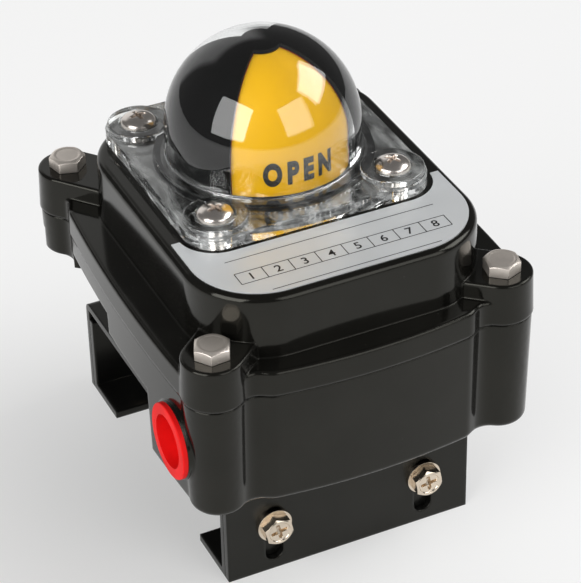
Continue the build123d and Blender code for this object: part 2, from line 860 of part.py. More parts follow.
with BuildPart() as indicator_shroud:
    with BuildSketch(Plane.XZ):
        add(shell_profile(shroud_r, shroud_wall, cover_z))
    revolve(axis=Axis.Z)
    add(ring(shroud_foot_r, shroud_r - shroud_wall, cover_z, cover_z + shroud_foot - thread_clearance))
    with BuildSketch(Plane.XY.offset(cover_z + window_sill)):
        for centre in (-90, 90):
            add(sector(centre, window_half_angle, far))
        Circle(cap_r, mode=Mode.SUBTRACT)
    extrude(amount=far, mode=Mode.SUBTRACT)
finish(indicator_shroud, "indicator_shroud")


def drum_windows(centres):
    # two opposite quarter shells of the turning drum
    with BuildPart() as made:
        with BuildSketch(Plane.XZ):
            add(shell_profile(drum_r, drum_wall, drum_floor_z + drum_floor))
        revolve(axis=Axis.Z)
        with BuildSketch(Plane.XY.offset(drum_floor_z + drum_floor)) as kept:
            for centre in centres:
                add(sector(centre, window_half_angle, far))
            Circle(cap_r, mode=Mode.SUBTRACT)
        extrude(amount=far, mode=Mode.INTERSECT)
    return made


finish(drum_windows((-90, 90)), "indicator_open_windows")
finish(drum_windows((0, 180)), "indicator_shut_windows")

with BuildPart() as indicator_carrier:
    add(ring(drum_r, shaft_r, drum_floor_z, drum_floor_z + drum_floor))
    # rim that centres the drum quadrants, and hub on the end of the shaft
    rim_r = drum_r - drum_wall - seat_clearance
    add(ring(rim_r, rim_r - drum_wall, drum_floor_z, drum_floor_z + drum_floor + carrier_rim))
    add(ring(carrier_hub_r, carrier_screw_r, cover_z + axial_clearance, carrier_top_z))
    with BuildSketch(Plane.XY.offset(cover_z + axial_clearance)):
        Circle(shaft_r + seat_clearance)
    extrude(amount=shaft_top_z - cover_z - axial_clearance, mode=Mode.SUBTRACT)
finish(indicator_carrier, "indicator_carrier")

with BuildPart() as indicator_screw:
    add(disc(carrier_screw_head_r, carrier_top_z, carrier_top_z + carrier_screw_head))
    add(disc(carrier_screw_r - thread_clearance, carrier_top_z - carrier_screw_length, carrier_top_z))
    add(cross_recess(Plane.XY.offset(carrier_top_z + carrier_screw_head)), mode=Mode.SUBTRACT)
finish(indicator_screw, "indicator_screw")

# ---------------------------------------------------------------- shaft train
bush_top_z = bracket_height + lower_bush_length
collar_top_z = bracket_height - axial_clearance - washer_thickness
clip_z = bush_top_z + axial_clearance
seal_z = [bracket_height + seal_spacing, bracket_height + 2 * seal_spacing]
seal_groove = 2 * (seal_wire + running_clearance)
cam_closed_z = switch_low_z + (switch_thickness - cam_thickness) / 2
cam_open_z = cam_closed_z + switch_pitch_z
cam_top_z = cam_open_z + cam_thickness
hub_low_z = clip_z + clip_thickness + axial_clearance

with BuildPart() as drive_shaft:
    add(disc(shaft_r, shaft_foot_z, shaft_top_z))
    add(disc(collar_r, collar_top_z - collar_height, collar_top_z))
    # flats of the drive tang
    with BuildSketch(Plane.XY.offset(shaft_foot_z)):
        Circle(shaft_r)
        Rectangle(2 * shaft_r, tang_thickness, mode=Mode.SUBTRACT)
    extrude(amount=tang_length, mode=Mode.SUBTRACT)
    for z in seal_z:
        add(ring(collar_r, shaft_r - seal_groove, z - seal_groove / 2, z + seal_groove / 2), mode=Mode.SUBTRACT)
    add(ring(collar_r, shaft_r - clip_groove, clip_z, clip_z + clip_thickness), mode=Mode.SUBTRACT)
    with BuildSketch(Plane.XY.offset(shaft_top_z)):
        Circle(carrier_screw_r)
    extrude(amount=-carrier_screw_length, mode=Mode.SUBTRACT)
finish(drive_shaft, "drive_shaft")

with BuildPart() as shaft_seals:
    with Locations(*[(0, 0, z) for z in seal_z]):
        Torus(shaft_r - seal_wire, seal_wire)
finish(shaft_seals, "shaft_seals")

with BuildPart() as thrust_washer:
    add(ring(collar_r, shaft_r + running_clearance, collar_top_z, collar_top_z + washer_thickness))
finish(thrust_washer, "thrust_washer")

with BuildPart() as lower_bush:
    add(ring(bush_r - seat_clearance, shaft_r + running_clearance, bracket_height, bush_top_z))
finish(lower_bush, "lower_bush")

with BuildPart() as upper_bush:
    add(ring(bush_r - seat_clearance, shaft_r + running_clearance, cover_z - upper_bush_length, cover_z))
finish(upper_bush, "upper_bush")

with BuildPart() as retaining_clip:
    with BuildSketch(Plane.XY.offset(clip_z)):
        Circle(clip_r)
        Circle(shaft_r - clip_groove + running_clearance, mode=Mode.SUBTRACT)
        # the open mouth of the clip
        with Locations((0, -clip_r)):
            Rectangle(shaft_r, 2 * clip_r, mode=Mode.SUBTRACT)
    extrude(amount=clip_thickness)
finish(retaining_clip, "retaining_clip")

with BuildPart() as cam_hub:
    add(ring(cam_hub_shoulder_r, shaft_r + seat_clearance, hub_low_z, cam_closed_z))
    add(ring(cam_hub_r, shaft_r + seat_clearance, cam_closed_z, cam_top_z + cam_retainer))
finish(cam_hub, "cam_hub")


def cam_radius(angle, rising):
    # radius at an angle in degrees: a ramp over the active quarter, a dwell each side, a cosine back
    at_start = cam_low_r if rising else cam_low_r + cam_rise
    at_end = cam_low_r + cam_rise if rising else cam_low_r
    back_angle = 360 - cam_active_angle - 2 * cam_dwell
    past = (angle - cam_active_angle - cam_dwell) % 360
    if past < back_angle:
        share = (1 - math.cos(math.pi * past / back_angle)) / 2
        return at_end + (at_start - at_end) * share
    share = (past - back_angle - cam_dwell) / cam_active_angle
    return at_start + (at_end - at_start) * min(max(share, 0), 1)


def cam(low_z, rising):
    angles = [360 * k / cam_points for k in range(cam_points)]
    outline = [
        (
            cam_radius(angle, rising) * math.cos(math.radians(angle)),
            cam_radius(angle, rising) * math.sin(math.radians(angle)),
        )
        for angle in angles
    ]
    with BuildPart() as made:
        with BuildSketch(Plane.XY.offset(low_z)):
            with BuildLine():
                Spline(*outline, periodic=True)
            make_face()
            Circle(cam_hub_r + seat_clearance, mode=Mode.SUBTRACT)
        extrude(amount=cam_thickness)
    return made


finish(cam(cam_closed_z, False), "cam_closed")
finish(cam(cam_open_z, True), "cam_open")

with BuildPart() as cam_spring:
    spring_low_z = cam_closed_z + cam_thickness + spring_wire_r + running_clearance
    spring_height = cam_open_z - spring_wire_r - running_clearance - spring_low_z
    with BuildLine():
        coil = Helix(spring_height / spring_turns, spring_height, spring_r, center=(0, 0, spring_low_z))
    with BuildSketch(Plane(origin=coil @ 0, z_dir=coil % 0)):
        Circle(spring_wire_r)
    sweep()
finish(cam_spring, "cam_spring")

with BuildPart() as cam_retaining_ring:
    add(ring(cam_hub_shoulder_r, cam_hub_r + seat_clearance, cam_top_z, cam_top_z + cam_retainer))
finish(cam_retaining_ring, "cam_retainer")

# ---------------------------------------------------------------- limit switches
switch_points = [(-switch_hole_x, switch_hole_y), (switch_hole_x, switch_hole_y)]
lever_half = roller_height / 2 + axial_clearance
lug_low = lever_half + lever_plate + thread_clearance


def microswitch(low_z):
    # sealed body with three blades at the back, a plunger and two hinge lugs at the front
    middle_z = low_z + switch_thickness / 2
    with BuildPart() as made:
        with BuildSketch(Plane.XY.offset(low_z)):
            with Locations((0, switch_face_y)):
                Rectangle(switch_length, switch_height, align=(Align.CENTER, Align.MIN))
        extrude(amount=switch_thickness)
        fillet(made.edges().filter_by(Axis.Z), switch_edge)
        with BuildSketch(Plane.XY.offset(low_z)):
            with Locations(*switch_points):
                Circle(switch_screw_r + thread_clearance)
        extrude(amount=switch_thickness, mode=Mode.SUBTRACT)
        with BuildSketch(Plane.XZ.offset(-switch_face_y - switch_height)):
            with Locations(*[(k * switch_length / 3, middle_z) for k in (-1, 0, 1)]):
                Rectangle(blade_thickness, blade_width)
        extrude(amount=-blade_length)
        with BuildSketch(Plane.XZ.offset(-plunger_end_y)):
            with Locations((plunger_x, middle_z)):
                Circle(plunger_r)
        extrude(amount=plunger_end_y - switch_face_y)
        for z in (middle_z - lug_low - lug_thickness, middle_z + lug_low):
            with BuildSketch(Plane.XY.offset(z)):
                with Locations((-lever_reach, lever_pivot_y)):
                    Circle(lever_eye_r)
                    Rectangle(2 * lever_eye_r, switch_face_y - lever_pivot_y, align=(Align.CENTER, Align.MIN))
            extrude(amount=lug_thickness)
        with BuildSketch(Plane.XY.offset(middle_z - lug_low - lug_thickness)):
            with Locations((-lever_reach, lever_pivot_y)):
                Circle(pivot_pin_r)
        extrude(amount=2 * (lug_low + lug_thickness))
    return made


finish(microswitch(switch_low_z), "microswitch_closed")
finish(microswitch(switch_low_z + switch_pitch_z), "microswitch_open")

# the roller touches the cam on the +Y side; the lever turns by lever_throw from low cam to high cam
relaxed_y = cam_low_r + roller_gap + roller_r
relaxed_angle = math.degrees(math.atan2(relaxed_y - lever_pivot_y, lever_reach))
lever_length = math.hypot(relaxed_y - lever_pivot_y, lever_reach)


def lever_frame(low_z, angle):
    # plane at the pivot, X along the lever, at the mid height of one switch
    direction = (math.cos(math.radians(angle)), math.sin(math.radians(angle)), 0)
    origin = (-lever_reach, lever_pivot_y, low_z + switch_thickness / 2)
    return Plane(origin=origin, x_dir=direction, z_dir=(0, 0, 1))


def lever(frame):
    # two side plates, the strip between them that meets the plunger, and the roller pin
    with BuildPart() as made:
        for low in (lever_half, -lever_half - lever_plate):
            with BuildSketch(frame.offset(low)):
                with Locations((lever_length / 2, 0)):
                    SlotCenterToCenter(lever_length, 2 * lever_eye_r)
                Circle(pivot_pin_r + running_clearance, mode=Mode.SUBTRACT)
            extrude(amount=lever_plate)
        with BuildSketch(frame.offset(-lever_half)):
            with Locations((lever_strip_start, lever_eye_r)):
                Rectangle(lever_strip_length, lever_plate, align=(Align.MIN, Align.MAX))
        extrude(amount=2 * lever_half)
        with BuildSketch(frame.offset(-lever_half)):
            with Locations((lever_length, 0)):
                Circle(roller_pin_r)
        extrude(amount=2 * lever_half)
    return made


def roller(frame):
    with BuildPart() as made:
        with BuildSketch(frame.offset(-roller_height / 2)):
            with Locations((lever_length, 0)):
                Circle(roller_r)
                Circle(roller_pin_r + running_clearance, mode=Mode.SUBTRACT)
        extrude(amount=roller_height)
    return made


closed_frame = lever_frame(switch_low_z, relaxed_angle)
open_frame = lever_frame(switch_low_z + switch_pitch_z, relaxed_angle + lever_throw)
finish(lever(closed_frame), "lever_closed")
finish(lever(open_frame), "lever_open")
finish(roller(closed_frame), "roller_closed")
finish(roller(open_frame), "roller_open")

with BuildPart() as switch_bracket:
    with BuildSketch(Plane.XY.offset(switch_plate_z)):
        with Locations((0, switch_face_y - switch_plate_margin)):
            Rectangle(
                switch_length + 2 * switch_plate_margin,
                switch_height + 2 * switch_plate_margin,
                align=(Align.CENTER, Align.MIN),
            )
        with Locations(*switch_points):
            Circle(switch_screw_r + thread_clearance, mode=Mode.SUBTRACT)
    extrude(amount=switch_plate)
    fillet(switch_bracket.edges().filter_by(Axis.Z).filter_by(GeomType.LINE), switch_edge)
finish(switch_bracket, "switch_plate")

with BuildPart() as switch_spacers:
    spans = [(switch_plate_z + switch_plate, switch_low_z)]
    spans.append((switch_low_z + switch_thickness, switch_low_z + switch_pitch_z))
    for low, high in spans:
        with BuildSketch(Plane.XY.offset(low)):
            with Locations(*switch_points):
                Circle(spacer_r)
            with Locations(*switch_points):
                Circle(switch_screw_r + thread_clearance, mode=Mode.SUBTRACT)
        extrude(amount=high - low)
finish(switch_spacers, "switch_spacers")

with BuildPart() as switch_screws:
    head_z = switch_low_z + switch_pitch_z + switch_thickness
    with BuildSketch(Plane.XY.offset(head_z)):
        with Locations(*switch_points):
            Circle(switch_head_r)
    extrude(amount=switch_head)
    with BuildSketch(Plane.XY.offset(head_z)):
        with Locations(*switch_points):
            Circle(switch_screw_r)
    extrude(amount=-(head_z - inner_floor_z))
    with BuildSketch(Plane.XY.offset(head_z + switch_head)):
        with Locations(*switch_points):
            Rectangle(2 * switch_head_r, recess_arm)
    extrude(amount=-switch_head / 2, mode=Mode.SUBTRACT)
finish(switch_screws, "switch_screws")

# ---------------------------------------------------------------- terminals
pole_x = [(k - (terminal_count - 1) / 2) * terminal_pitch for k in range(terminal_count)]
clamp_points = [(x, terminal_y + side * terminal_row) for x in pole_x for side in (-1, 1)]
terminal_top_z = terminal_low_z + terminal_height

with BuildPart() as terminal_block:
    with BuildSketch(Plane.XY.offset(terminal_low_z)):
        with Locations((0, terminal_y)):
            Rectangle(terminal_count * terminal_pitch + 2 * terminal_end, terminal_depth)
    extrude(amount=terminal_height)
    # barriers between the poles stand above the clamp screws
    with BuildSketch(Plane.XY.offset(terminal_top_z)):
        with Locations(*[(x, terminal_y) for x in pole_x]):
            Rectangle(terminal_pitch - terminal_end, terminal_depth)
    extrude(amount=-terminal_barrier, mode=Mode.SUBTRACT)
    with BuildSketch(Plane.XY.offset(terminal_top_z - terminal_barrier)):
        with Locations(*clamp_points):
            Circle(terminal_screw_r + thread_clearance)
    extrude(amount=-terminal_screw_length, mode=Mode.SUBTRACT)
    with BuildSketch(Plane.XZ.offset(-terminal_y - terminal_depth / 2)):
        with Locations(*[(x, terminal_low_z + terminal_wire_z) for x in pole_x]):
            Circle(terminal_wire_r)
    extrude(amount=terminal_depth, mode=Mode.SUBTRACT)
    with BuildSketch(Plane.XY.offset(terminal_top_z)):
        with Locations(*terminal_fixings):
            Circle(switch_head_r + thread_clearance)
    extrude(amount=-terminal_barrier - switch_head, mode=Mode.SUBTRACT)
    with BuildSketch(Plane.XY.offset(terminal_low_z)):
        with Locations(*terminal_fixings):
            Circle(switch_screw_r + thread_clearance)
    extrude(amount=terminal_height, mode=Mode.SUBTRACT)
finish(terminal_block, "terminal_block")

with BuildPart() as terminal_screws:
    with BuildSketch(Plane.XY.offset(terminal_top_z - terminal_barrier)):
        with Locations(*clamp_points):
            Circle(terminal_screw_r)
    extrude(amount=-terminal_screw_length)
    with BuildSketch(Plane.XY.offset(terminal_top_z - terminal_barrier)):
        with Locations(*clamp_points):
            Rectangle(2 * terminal_screw_r, recess_arm)
    extrude(amount=-recess_arm, mode=Mode.SUBTRACT)
finish(terminal_screws, "terminal_screws")

with BuildPart() as terminal_fixing_screws:
    seat_z = terminal_top_z - terminal_barrier - switch_head
    with BuildSketch(Plane.XY.offset(seat_z)):
        with Locations(*terminal_fixings):
            Circle(switch_head_r)
    extrude(amount=switch_head)
    with BuildSketch(Plane.XY.offset(seat_z)):
        with Locations(*terminal_fixings):
            Circle(switch_screw_r)
    extrude(amount=-(seat_z - inner_floor_z))
    with BuildSketch(Plane.XY.offset(seat_z + switch_head)):
        with Locations(*terminal_fixings):
            Rectangle(2 * switch_head_r, recess_arm)
    extrude(amount=-switch_head / 2, mode=Mode.SUBTRACT)
finish(terminal_fixing_screws, "terminal_fixing_screws")

with BuildPart() as earth_screw:
    with BuildSketch(Plane.XY.offset(inner_floor_z)):
        with Locations(earth_point):
            Circle(earth_head_r)
    extrude(amount=earth_head)
    with BuildSketch(Plane.XY.offset(inner_floor_z)):
        with Locations(earth_point):
            Circle(earth_screw_r)
    extrude(amount=-earth_screw_length)
    with BuildSketch(Plane.XY.offset(inner_floor_z + earth_head)):
        with Locations(earth_point):
            Rectangle(2 * earth_head_r, recess_arm)
    extrude(amount=-recess_arm, mode=Mode.SUBTRACT)
finish(earth_screw, "earth_screw")
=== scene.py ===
import json
import math
import bmesh
import bpy
import numpy as np
from mathutils import Matrix, Vector


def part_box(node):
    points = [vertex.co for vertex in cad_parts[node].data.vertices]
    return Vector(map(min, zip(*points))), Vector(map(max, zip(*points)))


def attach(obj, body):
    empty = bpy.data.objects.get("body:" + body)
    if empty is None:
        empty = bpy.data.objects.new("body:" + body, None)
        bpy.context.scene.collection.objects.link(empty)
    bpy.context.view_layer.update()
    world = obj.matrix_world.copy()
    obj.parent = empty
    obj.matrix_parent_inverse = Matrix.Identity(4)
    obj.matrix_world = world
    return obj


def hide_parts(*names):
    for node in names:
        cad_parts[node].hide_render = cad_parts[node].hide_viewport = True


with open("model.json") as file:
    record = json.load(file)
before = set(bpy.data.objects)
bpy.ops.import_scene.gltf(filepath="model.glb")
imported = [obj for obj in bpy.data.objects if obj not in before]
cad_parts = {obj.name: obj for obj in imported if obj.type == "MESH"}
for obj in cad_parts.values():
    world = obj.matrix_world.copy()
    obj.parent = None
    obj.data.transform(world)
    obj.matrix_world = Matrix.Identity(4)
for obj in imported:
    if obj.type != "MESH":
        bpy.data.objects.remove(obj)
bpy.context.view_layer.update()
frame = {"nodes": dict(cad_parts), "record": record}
nodes = frame["nodes"]
bodyOf = {n: b for b, ns in frame["record"]["behaviour"]["bodies"].items() for n in ns}
slotOf = {s["node"]: s["material_slot"] for s in frame["record"]["subparts"]}
print("frame loaded")


class Val:
    # a socket that Python arithmetic turns into Math nodes
    def __init__(self, mat, socket):
        self.mat, self.socket = mat, socket

    def math(self, how, *others):
        return self.mat.node("ShaderNodeMath", {"operation": how}, self, *others)

    def __add__(self, other):
        return self.math("ADD", other)

    def __radd__(self, other):
        return self.math("ADD", other)

    def __sub__(self, other):
        return self.math("SUBTRACT", other)

    def __rsub__(self, other):
        return self.mat.node("ShaderNodeMath", {"operation": "SUBTRACT"}, other, self)

    def __mul__(self, other):
        return self.math("MULTIPLY", other)

    def __rmul__(self, other):
        return self.math("MULTIPLY", other)

    def clamp(self):
        return self.mat.node("ShaderNodeClamp", {}, self)

    def step(self, low, high):
        # 0 below low, 1 above high, smooth between
        return self.mat.node(
            "ShaderNodeMapRange", {"interpolation_type": "SMOOTHSTEP"}, self, low, high, 0.0, 1.0
        )


class Tree:
    # a node tree and the one way to put a node in it
    def __init__(self, tree):
        self.tree = tree

    def link(self, value, socket):
        if isinstance(value, Val):
            self.tree.links.new(value.socket, socket)
        elif isinstance(value, (tuple, list)) and len(value) == 3 and socket.type == "RGBA":
            socket.default_value = (*value, 1)
        else:
            socket.default_value = value

    def node(self, kind, settings=None, *values, **named):
        # any node: settings first, then values or links of its sockets in order or by name
        made = self.tree.nodes.new(kind)
        settings = dict(settings or {})
        out = settings.pop("out", 0)
        for key, value in settings.items():
            setattr(made, key, value)
        for socket, value in zip(made.inputs, values):
            if value is not None:
                self.link(value, socket)
        for key, value in named.items():
            self.link(value, made.inputs[key])
        return Val(self, made.outputs[out])


class Mat(Tree):
    # one material: a node tree with a Principled shader
    def __init__(self, name, **fixed):
        self.data = bpy.data.materials.new(name)
        self.data.use_nodes = True
        super().__init__(self.data.node_tree)
        self.shader = self.tree.nodes["Principled BSDF"]
        self.surface = Val(self, self.shader.outputs[0])
        for key, value in fixed.items():
            self.put(key, value)
        self.where = self.node("ShaderNodeTexCoord", {"out": "Object"})

    def put(self, key, value):
        # a Principled socket by its name written in camelCase
        name = "".join(" " + c if c.isupper() else c for c in key).strip()
        self.link(value, self.shader.inputs[name[0].upper() + name[1:]])

    def mix(self, factor, first, second):
        # colour mix: the sockets between the factor and the two colours belong to other kinds of mix
        unused = [None] * 5
        return self.node("ShaderNodeMix", {"data_type": "RGBA", "out": 2}, factor, *unused, first, second)

    def mixShader(self, factor, first, second):
        return self.node("ShaderNodeMixShader", {}, factor, first, second)

    def finish(self, surface):
        self.link(surface, self.tree.nodes["Material Output"].inputs["Surface"])
        return self.data

    def noise(self, scale, detail=3.0, rough=0.5, stretch=None):
        # noise from 0 to 1 on object coordinates, scale in cycles per metre
        place = self.where
        if stretch:
            place = self.node("ShaderNodeMapping", {}, self.where, Scale=stretch)
        return self.node(
            "ShaderNodeTexNoise", {}, Vector=place, Scale=scale, Detail=detail, Roughness=rough
        )

    def bump(self, height, strength, distance, edge=0.0):
        # fine relief, over normals that are rounded within edge metres of each corner
        made = {"Height": height, "Strength": strength, "Distance": distance}
        if edge:
            made["Normal"] = self.node("ShaderNodeBevel", {"samples": 8}, Radius=edge)
        self.put("normal", self.node("ShaderNodeBump", {"out": "Normal"}, **made))


def specks(mat, scale, size, seldom, core=0.6, softness=0.01):
    # small round dust specks: close to a cell's point, in the few cells whose random value passes
    cells = mat.node("ShaderNodeTexVoronoi", {"out": "Distance"}, Vector=mat.where, Scale=scale)
    chance = mat.node("ShaderNodeTexVoronoi", {"out": "Color"}, Vector=mat.where, Scale=scale)
    red = mat.node("ShaderNodeSeparateColor", {}, chance)
    return (1 - cells.step(size * core, size)) * red.step(seldom, seldom + softness)


paint = {
    "ior": 1.37, "tint": (1.0, 0.985, 0.87), "castingRoughness": 0.11, "bracketRoughness": 0.26,
    "cloud": 55, "cloudy": (0.35, 0.75), "spread": 0.05, "lighter": 1.6, "edge": 0.0011,
    "grain": 700, "grainStrength": 0.2, "grainDepth": 0.000012,
    "dust": 240, "dustSize": 0.05, "dustSeldom": 0.955, "dustFacing": (0.2, 0.9), "dustOnWalls": 0.2,
    "fineDust": 744, "fineSize": 0.1, "fineSeldom": 0.965, "fineFacing": (0.5, 0.95), "fineShare": 0.7,
    "dustShare": 0.5, "dustColour": (0.25, 0.24, 0.21),
}


def blackPaint(name, roughness, colour, dusty):
    mat = Mat(name)
    mat.link(paint["ior"], mat.shader.inputs["IOR"])
    mat.put("specularTint", paint["tint"])
    cloud = mat.noise(paint["cloud"], 4)
    mat.put("roughness", roughness + (cloud - 0.5) * paint["spread"])
    lighter = tuple(c * paint["lighter"] for c in colour)
    base = mat.mix(cloud.step(*paint["cloudy"]), colour, lighter)
    if dusty:
        # dust lies on what faces up, and a little of it clings to the walls
        normal = mat.node("ShaderNodeNewGeometry", {"out": "Normal"})
        up = mat.node("ShaderNodeSeparateXYZ", {"out": "Z"}, normal)
        dust = specks(mat, paint["dust"], paint["dustSize"], paint["dustSeldom"])
        fine = specks(mat, paint["fineDust"], paint["fineSize"], paint["fineSeldom"])
        share = paint["dustOnWalls"] + up.step(*paint["dustFacing"]) * (1 - paint["dustOnWalls"])
        lying = dust * share + fine * up.step(*paint["fineFacing"]) * paint["fineShare"]
        base = mat.mix(lying.clamp() * paint["dustShare"], base, paint["dustColour"])
    mat.put("baseColor", base)
    mat.bump(mat.noise(paint["grain"], 2), paint["grainStrength"], paint["grainDepth"], paint["edge"])
    return mat.data


metalSurface = {
    "cloud": 140, "cloudy": (0.3, 0.8), "darker": 0.85,
    "grain": 900, "spread": 0.12, "strength": 0.12, "depth": 0.00003,
}


def metal(name, colour, roughness, edge=0.0004, metallic=1.0):
    surface = metalSurface
    mat = Mat(name, metallic=metallic)
    cloud = mat.noise(surface["cloud"], 3)
    fine = mat.noise(surface["grain"], 3, 0.6)
    worn = tuple(c * surface["darker"] for c in colour)
    mat.put("baseColor", mat.mix(cloud.step(*surface["cloudy"]), colour, worn))
    mat.put("roughness", roughness + (fine - 0.5) * surface["spread"])
    mat.bump(fine, surface["strength"], surface["depth"], edge)
    return mat.data


plasticSurface = {
    "cloud": 90, "cloudy": (0.35, 0.7), "gloss": 700, "spread": 0.1,
    "grain": 1400, "strength": 0.15, "depth": 0.00002,
}


def plastic(name, colour, roughness, darker=0.85, ior=1.46):
    surface = plasticSurface
    mat = Mat(name)
    mat.link(ior, mat.shader.inputs["IOR"])
    cloud = mat.noise(surface["cloud"], 3)
    worn = tuple(c * darker for c in colour)
    mat.put("baseColor", mat.mix(cloud.step(*surface["cloudy"]), colour, worn))
    mat.put("roughness", roughness + (mat.noise(surface["gloss"]) - 0.5) * surface["spread"])
    mat.bump(mat.noise(surface["grain"], 2), surface["strength"], surface["depth"])
    return mat.data


foil = {
    "metallic": 0.45, "colours": ((0.80, 0.82, 0.83), (0.74, 0.76, 0.77)),
    "cloud": 40, "cloudy": (0.3, 0.8), "roughness": 0.42, "spread": 0.12,
    "brush": 500, "brushStretch": (1, 25, 1), "strength": 0.08, "depth": 0.00002,
}


def labelFoil(name):
    # printed foil: half metal, half white ink, faintly brushed along x
    mat = Mat(name, metallic=foil["metallic"])
    brushed = mat.noise(foil["brush"], 3, 0.6, foil["brushStretch"])
    cloud = mat.noise(foil["cloud"], 2)
    mat.put("baseColor", mat.mix(cloud.step(*foil["cloudy"]), *foil["colours"]))
    mat.put("roughness", foil["roughness"] + (brushed - 0.5) * foil["spread"])
    mat.bump(brushed, foil["strength"], foil["depth"])
    return mat.data


clearDome = {
    "colour": (0.96, 0.975, 0.97), "roughness": 0.015, "ior": 1.6, "shadow": (0.93, 0.94, 0.94),
    "haze": (0.8, 0.81, 0.8), "hazeBody": 0.08, "hazeEdge": 0.34, "edge": (0.029, 0.040),
    "flangeTop": (0.1145, 0.1155), "streaks": 210, "streakStretch": (1, 0.35, 2), "streaky": (0.42, 0.72),
}


def clearPlastic(name):
    # clear moulding that lets lamp light through to what it covers, clouded by flow marks in its flange,
    # and more at the flange's outer border, where the extra cloud is a painted highlight for its bright
    # edges
    clear = clearDome
    mat = Mat(name, baseColor=clear["colour"], roughness=clear["roughness"], transmissionWeight=1.0)
    mat.link(clear["ior"], mat.shader.inputs["IOR"])
    seeThrough = mat.node("ShaderNodeBsdfTransparent", {}, clear["shadow"])
    shadowRay = mat.node("ShaderNodeLightPath", {"out": "Is Shadow Ray"})
    lit = mat.mixShader(shadowRay, mat.surface, seeThrough)
    cloudy = mat.node("ShaderNodeBsdfDiffuse", {}, clear["haze"])
    x, y, z = (mat.node("ShaderNodeSeparateXYZ", {"out": i}, mat.where) for i in range(3))
    outward = x.math("ABSOLUTE").math("MAXIMUM", y.math("ABSOLUTE"))
    # painted highlight: the flange's outer border gets much more of the light haze than its middle, to
    # make its edges bright
    highlightBorder = outward.step(*clear["edge"])
    low = 1 - z.step(*clear["flangeTop"])
    streaks = mat.noise(clear["streaks"], 4, 0.6, clear["streakStretch"]).step(*clear["streaky"])
    amount = low * (clear["hazeBody"] * streaks + highlightBorder * streaks * clear["hazeEdge"])
    return mat.finish(mat.mixShader(amount, lit, cloudy))


finishes = {
    "black_casting": blackPaint(
        "castingBlack", paint["castingRoughness"], (0.0042, 0.0040, 0.0034), dusty=True
    ),
    "bracket_paint": blackPaint(
        "bracketBlack", paint["bracketRoughness"], (0.004, 0.004, 0.0038), dusty=False
    ),
    "stainless": metal("stainless", (0.82, 0.75, 0.68), 0.4, metallic=0.88),
    "nickel": metal("nickel", (0.74, 0.64, 0.52), 0.2, 0.00012),
    "bright_nickel": metal("brightNickel", (0.78, 0.72, 0.67), 0.24, 0.00012),
    "zinc_steel": metal("zincPlate", (0.6, 0.61, 0.62), 0.3),
    "clear_plastic": clearPlastic("clearDome"),
    "label_silver": labelFoil("labelSilver"),
    "plug_red": plastic("plugRed", (0.86, 0.009, 0.009), 0.5, ior=1.22),
    "indicator_black": plastic("indicatorBlack", (0.0025, 0.0025, 0.0025), 0.5, ior=1.1),
    "indicator_yellow": plastic("indicatorYellow", (0.72, 0.39, 0.002), 0.42, 0.97, ior=1.2),
    "indicator_red": plastic("indicatorRed", (0.62, 0.01, 0.01), 0.35),
    "seal_rubber": plastic("sealRubber", (0.012, 0.012, 0.012), 0.6),
    "bush_bronze": metal("bushBronze", (0.55, 0.38, 0.2), 0.4),
    "washer_plastic": plastic("hubWhite", (0.7, 0.69, 0.65), 0.4),
    "cam_yellow": plastic("camYellow", (0.85, 0.5, 0.02), 0.4),
    "cam_red": plastic("camRed", (0.6, 0.02, 0.015), 0.4),
    "switch_black": plastic("switchBlack", (0.02, 0.02, 0.02), 0.45),
    "terminal_grey": plastic("terminalGrey", (0.35, 0.37, 0.38), 0.5),
}
print("finishes made")


def readPoints(mesh):
    points = np.empty(len(mesh.vertices) * 3)
    mesh.vertices.foreach_get("co", points)
    return points.reshape(-1, 3)


# lifted undersides: the dome's to reflect as over an air gap, the cover's to open a thin dark seam
underLift = {"indicator_dome": 0.00004, "top_cover": 0.0005}


def liftUnderside(mesh, amount):
    # raises the lowest points of a mesh
    points = readPoints(mesh)
    under = points[:, 2] < points[:, 2].min() + 1e-5
    points[under, 2] += amount
    mesh.vertices.foreach_set("co", points.ravel())


# the dome, the shroud and the drum begin to round over at the same height
straightHeight = 0.0134
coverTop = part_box("label_plate")[0][2]
roundFrom = coverTop + straightHeight
contact = {"domeRadius": 0.02975, "wall": 0.0026, "into": 0.00004, "skin": 0.0001, "plainFoot": 0.002}


def pressToDome(mesh):
    # pushes the outer skin of the shroud onto the dome's inner wall, so that no air shows between them:
    # its points slide away from the axis below the round top, and from the round top's centre above
    points = readPoints(mesh)
    centre = np.array([0, 0, roundFrom])
    away = points - centre
    away[:, 2] = np.maximum(away[:, 2], 0)
    reach = np.linalg.norm(away, axis=1)
    outer = np.percentile(reach[points[:, 2] > centre[2]], 99)
    aboveFoot = points[:, 2] > points[:, 2].min() + contact["plainFoot"]
    skin = (abs(reach - outer) < contact["skin"]) & aboveFoot
    wanted = contact["domeRadius"] - contact["wall"] + contact["into"]
    points[skin] += away[skin] * (wanted / reach[skin] - 1)[:, None]
    mesh.vertices.foreach_set("co", points.ravel())


# nodes shown as smooth copies, with the distance in metres within which their points are merged
smoothed = {
    "top_cover": 1e-6, "lower_housing": 4e-5, "mounting_bracket": 1e-6, "label_plate": 1e-6,
    "indicator_dome": 1e-6, "indicator_shroud": 1e-6, "indicator_open_windows": 1e-6,
    "indicator_shut_windows": 1e-6, "conduit_plug_left": 1e-6, "conduit_plug_right": 1e-6,
}


